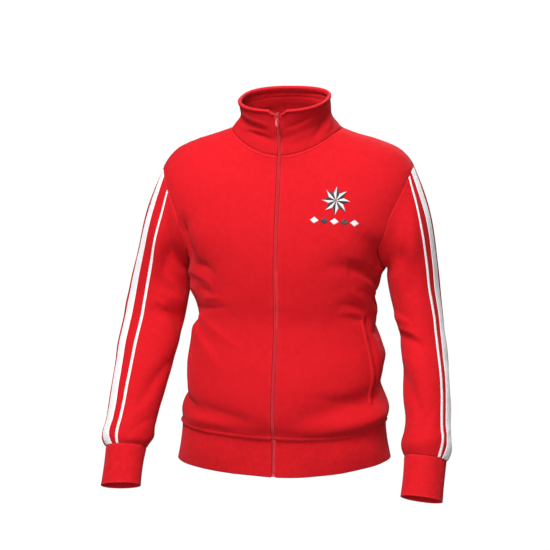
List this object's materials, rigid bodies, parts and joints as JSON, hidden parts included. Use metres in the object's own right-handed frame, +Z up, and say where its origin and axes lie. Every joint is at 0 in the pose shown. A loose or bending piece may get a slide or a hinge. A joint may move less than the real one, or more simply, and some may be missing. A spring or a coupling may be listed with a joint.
{
  "type": "zip-up sweatshirt",
  "caption": "Red full-zip track top in sweatshirt fleece with a stand collar, ribbed hem and cuffs and white sleeve bands, filled out as worn.",
  "frame": {"origin": "on the centre line, level with the points where the shoulder seams meet the collar, in the middle of the neck opening", "axes": "+Z up, -Y towards the garment's front, +X towards the wearer's left"},
  "size_m": [0.678, 0.3613, 0.7813],
  "materials": {
    "fleece": "matt brushed-back knit",
    "rib": "matt rib knit",
    "band": "smooth knitted tape",
    "zip_tape": "woven tape",
    "zip_teeth": "dyed nylon coil",
    "slider": "satin lacquer"
  },
  "bodies": {
    "garment": {"front_left": "fleece", "front_right": "fleece", "back": "fleece", "collar": "fleece", "sleeve_left": "fleece", "sleeve_right": "fleece", "pocket_welt_left": "fleece", "pocket_welt_right": "fleece", "hem_band": "rib", "cuff_left": "rib", "cuff_right": "rib", "band_wide_left": "band", "band_narrow_left": "band", "band_wide_right": "band", "band_narrow_right": "band", "zip_tape_left": "zip_tape", "zip_tape_right": "zip_tape", "zip_chain": "zip_teeth", "zip_foot": "zip_teeth", "zip_slider": "slider"},
    "pull_tab": {"zip_pull_tab": "slider"}
  },
  "joints": [
    {"name": "pull_tab_hinge", "type": "hinge", "parent": "garment", "child": "pull_tab", "pos_m": [0, -0.10962, 0.02612], "axis": [-1, 0, 0], "range_deg": [0, 150]}
  ]
}
